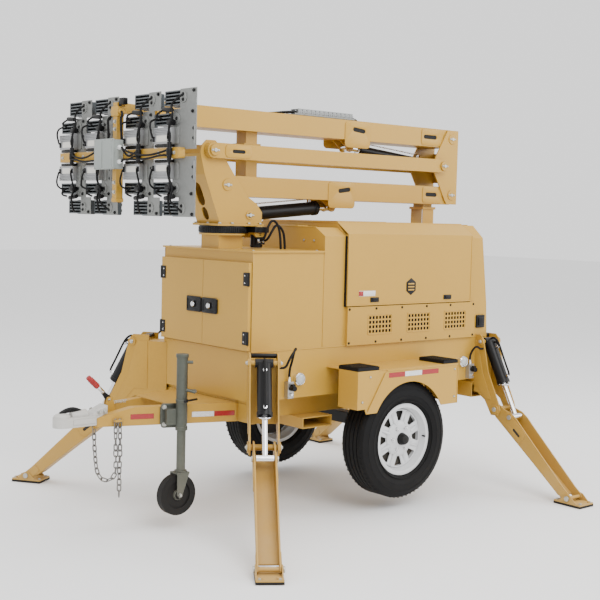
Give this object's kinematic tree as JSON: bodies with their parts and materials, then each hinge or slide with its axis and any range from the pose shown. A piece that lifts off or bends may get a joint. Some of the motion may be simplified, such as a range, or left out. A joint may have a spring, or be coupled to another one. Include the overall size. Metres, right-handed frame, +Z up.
{
  "type": "mobile lighting tower trailer",
  "caption": "Single-axle trailer with a generator housing, hydraulic outriggers and a slewing folding boom that carries a floodlight head.",
  "frame": {"origin": "ground level, at the middle of the trailer's length and width over its outriggers", "axes": "+X towards the rear, away from the tow coupler; +Y towards the left-hand side seen from the coupler; +Z up"},
  "size_m": [2.9496, 2.6282, 2.331],
  "materials": {
    "sand_paint": "satin powder coat",
    "sand_paint_frame": "satin paint on welded steel",
    "black_paint": "semi-gloss black paint",
    "chrome_rod": "hard chrome",
    "zinc_steel": "zinc plated steel",
    "white_steel": "gloss white paint",
    "tyre_rubber": "matt tyre rubber",
    "black_rubber": "matt moulded rubber",
    "silver_case": "bare cast aluminium",
    "lamp_black": "dark anodised heat sink",
    "bracket_grey": "light grey plate",
    "red_grip": "red moulded grip",
    "grey_plastic": "grey moulded cable carrier",
    "engine_cast": "cast engine and alternator housings"
  },
  "bodies": {
    "chassis": {"chassis_frame": "sand_paint_frame", "outrigger_arms": "sand_paint_frame", "coupler_body": "white_steel", "safety_chains": "zinc_steel", "jockey_tube": "zinc_steel", "axle_beam": "black_paint", "fenders": "sand_paint", "step_pads": "black_rubber", "lower_body": "sand_paint", "cabinet_shell": "sand_paint", "enclosure_shell": "sand_paint", "generator_set": "engine_cast", "hydraulic_manifolds": "silver_case", "hydraulic_hoses": "black_rubber", "slew_drive": "black_paint"},
    "coupler_latch": {"coupler_latch": "black_paint"},
    "brake_lever": {"brake_lever": "red_grip"},
    "jockey_leg": {"jockey_leg": "zinc_steel"},
    "jockey_fork": {"jockey_fork": "zinc_steel"},
    "jockey_wheel": {"jockey_wheel": "black_rubber"},
    "near_wheel": {"near_tyre": "tyre_rubber", "near_rim": "white_steel"},
    "far_wheel": {"far_tyre": "tyre_rubber", "far_rim": "white_steel"},
    "near_cabinet_door": {"near_cabinet_door": "sand_paint"},
    "far_cabinet_door": {"far_cabinet_door": "sand_paint"},
    "near_door_latch": {"near_door_latch": "black_paint"},
    "far_door_latch": {"far_door_latch": "black_paint"},
    "near_gull_door": {"near_gull_door": "sand_paint"},
    "far_gull_door": {"far_gull_door": "sand_paint"},
    "turret": {"turret_frame": "sand_paint"},
    "lower_boom": {"lower_boom": "sand_paint"},
    "link_bars": {"link_bars": "sand_paint"},
    "elbow": {"elbow_frame": "sand_paint"},
    "upper_boom": {"upper_boom": "sand_paint", "energy_chain": "grey_plastic"},
    "lower_ram_barrel": {"lower_ram_barrel": "black_paint"},
    "lower_ram_rod": {"lower_ram_rod": "chrome_rod"},
    "upper_ram_barrel": {"upper_ram_barrel": "black_paint"},
    "upper_ram_rod": {"upper_ram_rod": "chrome_rod"},
    "lamp_head": {"head_frame": "sand_paint", "lamp_brackets": "bracket_grey", "lamp_modules": "lamp_black", "driver_boxes": "silver_case"},
    "front_near_leg": {"front_near_leg": "sand_paint"},
    "front_near_foot": {"front_near_foot": "sand_paint"},
    "front_near_ram_barrel": {"front_near_ram_barrel": "black_paint"},
    "front_near_ram_rod": {"front_near_ram_rod": "chrome_rod"},
    "front_far_leg": {"front_far_leg": "sand_paint"},
    "front_far_foot": {"front_far_foot": "sand_paint"},
    "front_far_ram_barrel": {"front_far_ram_barrel": "black_paint"},
    "front_far_ram_rod": {"front_far_ram_rod": "chrome_rod"},
    "rear_near_leg": {"rear_near_leg": "sand_paint"},
    "rear_near_foot": {"rear_near_foot": "sand_paint"},
    "rear_near_ram_barrel": {"rear_near_ram_barrel": "black_paint"},
    "rear_near_ram_rod": {"rear_near_ram_rod": "chrome_rod"},
    "rear_far_leg": {"rear_far_leg": "sand_paint"},
    "rear_far_foot": {"rear_far_foot": "sand_paint"},
    "rear_far_ram_barrel": {"rear_far_ram_barrel": "black_paint"},
    "rear_far_ram_rod": {"rear_far_ram_rod": "chrome_rod"}
  },
  "joints": [
    {"name": "near_wheel_spin", "type": "hinge", "parent": "chassis", "child": "near_wheel", "pos_m": [0.45725, -0.5675, 0.412], "axis": [0, 1, 0], "continuous": true},
    {"name": "far_wheel_spin", "type": "hinge", "parent": "chassis", "child": "far_wheel", "pos_m": [0.45725, 0.5675, 0.412], "axis": [0, 1, 0], "continuous": true},
    {"name": "coupler_latch_lift", "type": "hinge", "parent": "chassis", "child": "coupler_latch", "pos_m": [-1.30175, 0, 0.636], "axis": [0, 1, 0], "range_deg": [0, 45]},
    {"name": "brake_lever_pull", "type": "hinge", "parent": "chassis", "child": "brake_lever", "pos_m": [-1.12475, 0, 0.69], "axis": [0, 1, 0], "range_deg": [-15, 40]},
    {"name": "jockey_height", "type": "slide", "parent": "chassis", "child": "jockey_leg", "axis": [0, 0, 1], "range_m": [-0.08, 0.15]},
    {"name": "jockey_swivel", "type": "hinge", "parent": "jockey_leg", "child": "jockey_fork", "pos_m": [-0.84675, -0.262, 0.313], "axis": [0, 0, 1], "continuous": true},
    {"name": "jockey_wheel_spin", "type": "hinge", "parent": "jockey_fork", "child": "jockey_wheel", "pos_m": [-0.87275, -0.262, 0.195], "axis": [0, 1, 0], "continuous": true},
    {"name": "near_cabinet_door_swing", "type": "hinge", "parent": "chassis", "child": "near_cabinet_door", "pos_m": [-0.53675, -0.42, 1.2], "axis": [0, 0, 1], "range_deg": [0, 100]},
    {"name": "near_door_latch_turn", "type": "hinge", "parent": "near_cabinet_door", "child": "near_door_latch", "pos_m": [-0.54075, -0.076, 1.184], "axis": [1, 0, 0], "range_deg": [0, 90]},
    {"name": "near_gull_door_lift", "type": "hinge", "parent": "chassis", "child": "near_gull_door", "pos_m": [0.69325, -0.344, 1.67], "axis": [-1, 0, 0], "range_deg": [0, 80]},
    {"name": "far_cabinet_door_swing", "type": "hinge", "parent": "chassis", "child": "far_cabinet_door", "pos_m": [-0.53675, 0.42, 1.2], "axis": [0, 0, -1], "range_deg": [0, 100]},
    {"name": "far_door_latch_turn", "type": "hinge", "parent": "far_cabinet_door", "child": "far_door_latch", "pos_m": [-0.54075, 0.076, 1.184], "axis": [1, 0, 0], "range_deg": [0, 90]},
    {"name": "far_gull_door_lift", "type": "hinge", "parent": "chassis", "child": "far_gull_door", "pos_m": [0.69325, 0.344, 1.67], "axis": [1, 0, 0], "range_deg": [0, 80]},
    {"name": "front_near_leg_fold", "type": "hinge", "parent": "chassis", "child": "front_near_leg", "pos_m": [-0.65284, -0.73118, 0.504], "axis": [-0.8192, 0.5736, 0], "range_deg": [0, 118]},
    {"name": "front_near_foot_tilt", "type": "hinge", "parent": "front_near_leg", "child": "front_near_foot", "pos_m": [-0.97978, -1.1981, 0.043], "axis": [-0.8192, 0.5736, 0], "range_deg": [-10, 30]},
    {"name": "front_near_ram_swing", "type": "hinge", "parent": "chassis", "child": "front_near_ram_barrel", "pos_m": [-0.57541, -0.6206, 0.924], "axis": [-0.8192, 0.5736, 0], "range_deg": [-6.49, 0]},
    {"name": "front_near_ram_stroke", "type": "slide", "parent": "front_near_ram_barrel", "child": "front_near_ram_rod", "axis": [-0.2656, -0.3793, -0.8863], "range_m": [-0.18443, 0]},
    {"name": "front_far_leg_fold", "type": "hinge", "parent": "chassis", "child": "front_far_leg", "pos_m": [-0.65284, 0.73118, 0.504], "axis": [0.8192, 0.5736, 0], "range_deg": [0, 118]},
    {"name": "front_far_foot_tilt", "type": "hinge", "parent": "front_far_leg", "child": "front_far_foot", "pos_m": [-0.97978, 1.1981, 0.043], "axis": [0.8192, 0.5736, 0], "range_deg": [-10, 30]},
    {"name": "front_far_ram_swing", "type": "hinge", "parent": "chassis", "child": "front_far_ram_barrel", "pos_m": [-0.57541, 0.6206, 0.924], "axis": [0.8192, 0.5736, 0], "range_deg": [-6.49, 0]},
    {"name": "front_far_ram_stroke", "type": "slide", "parent": "front_far_ram_barrel", "child": "front_far_ram_rod", "axis": [-0.2656, 0.3793, -0.8863], "range_m": [-0.18443, 0]},
    {"name": "rear_near_leg_fold", "type": "hinge", "parent": "chassis", "child": "rear_near_leg", "pos_m": [1.39825, -0.606, 0.504], "axis": [-1, 0, 0], "range_deg": [0, 118]},
    {"name": "rear_near_foot_tilt", "type": "hinge", "parent": "rear_near_leg", "child": "rear_near_foot", "pos_m": [1.39825, -1.176, 0.043], "axis": [-1, 0, 0], "range_deg": [-10, 30]},
    {"name": "rear_near_ram_swing", "type": "hinge", "parent": "chassis", "child": "rear_near_ram_barrel", "pos_m": [1.39825, -0.471, 0.924], "axis": [-1, 0, 0], "range_deg": [-6.49, 0]},
    {"name": "rear_near_ram_stroke", "type": "slide", "parent": "rear_near_ram_barrel", "child": "rear_near_ram_rod", "axis": [0, -0.463, -0.8863], "range_m": [-0.18443, 0]},
    {"name": "rear_far_leg_fold", "type": "hinge", "parent": "chassis", "child": "rear_far_leg", "pos_m": [1.39825, 0.606, 0.504], "axis": [1, 0, 0], "range_deg": [0, 118]},
    {"name": "rear_far_foot_tilt", "type": "hinge", "parent": "rear_far_leg", "child": "rear_far_foot", "pos_m": [1.39825, 1.176, 0.043], "axis": [1, 0, 0], "range_deg": [-10, 30]},
    {"name": "rear_far_ram_swing", "type": "hinge", "parent": "chassis", "child": "rear_far_ram_barrel", "pos_m": [1.39825, 0.471, 0.924], "axis": [1, 0, 0], "range_deg": [-6.49, 0]},
    {"name": "rear_far_ram_stroke", "type": "slide", "parent": "rear_far_ram_barrel", "child": "rear_far_ram_rod", "axis": [0, 0.463, -0.8863], "range_m": [-0.18443, 0]},
    {"name": "turret_slew", "type": "hinge", "parent": "chassis", "child": "turret", "pos_m": [-0.40975, 0, 1.633], "axis": [0, 0, 1], "range_deg": [-180, 180]},
    {"name": "lower_boom_lift", "type": "hinge", "parent": "turret", "child": "lower_boom", "pos_m": [-0.45975, 0, 1.862], "axis": [0, -1, 0], "range_deg": [0, 70]},
    {"name": "link_swing", "type": "hinge", "parent": "turret", "child": "link_bars", "pos_m": [-0.58275, 0, 2.047], "axis": [0, -1, 0], "range_deg": [0, 70]},
    {"name": "elbow_level", "type": "hinge", "parent": "lower_boom", "child": "elbow", "pos_m": [1.38525, 0, 1.862], "axis": [0, -1, 0], "range_deg": [-70, 0]},
    {"name": "upper_boom_lift", "type": "hinge", "parent": "elbow", "child": "upper_boom", "pos_m": [1.37825, 0, 2.23], "axis": [0, 1, 0], "range_deg": [0, 90]},
    {"name": "head_tilt", "type": "hinge", "parent": "upper_boom", "child": "lamp_head", "pos_m": [-0.96175, 0, 2.24], "axis": [0, 1, 0], "range_deg": [-20, 80]},
    {"name": "lower_ram_swing", "type": "hinge", "parent": "turret", "child": "lower_ram_barrel", "pos_m": [-0.29875, 0, 1.695], "axis": [0, -1, 0], "range_deg": [0, 71.01]},
    {"name": "lower_ram_stroke", "type": "slide", "parent": "lower_ram_barrel", "child": "lower_ram_rod", "axis": [0.9957, 0, 0.0925], "range_m": [0, 0.26572]},
    {"name": "upper_ram_swing", "type": "hinge", "parent": "elbow", "child": "upper_ram_barrel", "pos_m": [1.23825, 0, 2.065], "axis": [0, 1, 0], "range_deg": [0, 87]},
    {"name": "upper_ram_stroke", "type": "slide", "parent": "upper_ram_barrel", "child": "upper_ram_rod", "axis": [-0.9957, 0, 0.0927], "range_m": [0, 0.30276]}
  ],
  "couplings": [
    {"joint": "front_near_ram_swing", "follows": "front_near_leg_fold", "ratio": -0.05496},
    {"joint": "front_near_ram_stroke", "follows": "front_near_leg_fold", "m_per_rad": -0.089549},
    {"joint": "front_far_ram_swing", "follows": "front_far_leg_fold", "ratio": -0.05496},
    {"joint": "front_far_ram_stroke", "follows": "front_far_leg_fold", "m_per_rad": -0.089549},
    {"joint": "rear_near_ram_swing", "follows": "rear_near_leg_fold", "ratio": -0.05496},
    {"joint": "rear_near_ram_stroke", "follows": "rear_near_leg_fold", "m_per_rad": -0.089549},
    {"joint": "rear_far_ram_swing", "follows": "rear_far_leg_fold", "ratio": -0.05496},
    {"joint": "rear_far_ram_stroke", "follows": "rear_far_leg_fold", "m_per_rad": -0.089549},
    {"joint": "link_swing", "follows": "lower_boom_lift", "ratio": 1},
    {"joint": "elbow_level", "follows": "lower_boom_lift", "ratio": -1},
    {"joint": "lower_ram_swing", "follows": "lower_boom_lift", "ratio": 1.0145},
    {"joint": "lower_ram_stroke", "follows": "lower_boom_lift", "m_per_rad": 0.21749},
    {"joint": "upper_ram_swing", "follows": "upper_boom_lift", "ratio": 0.96664},
    {"joint": "upper_ram_stroke", "follows": "upper_boom_lift", "m_per_rad": 0.19274}
  ]
}
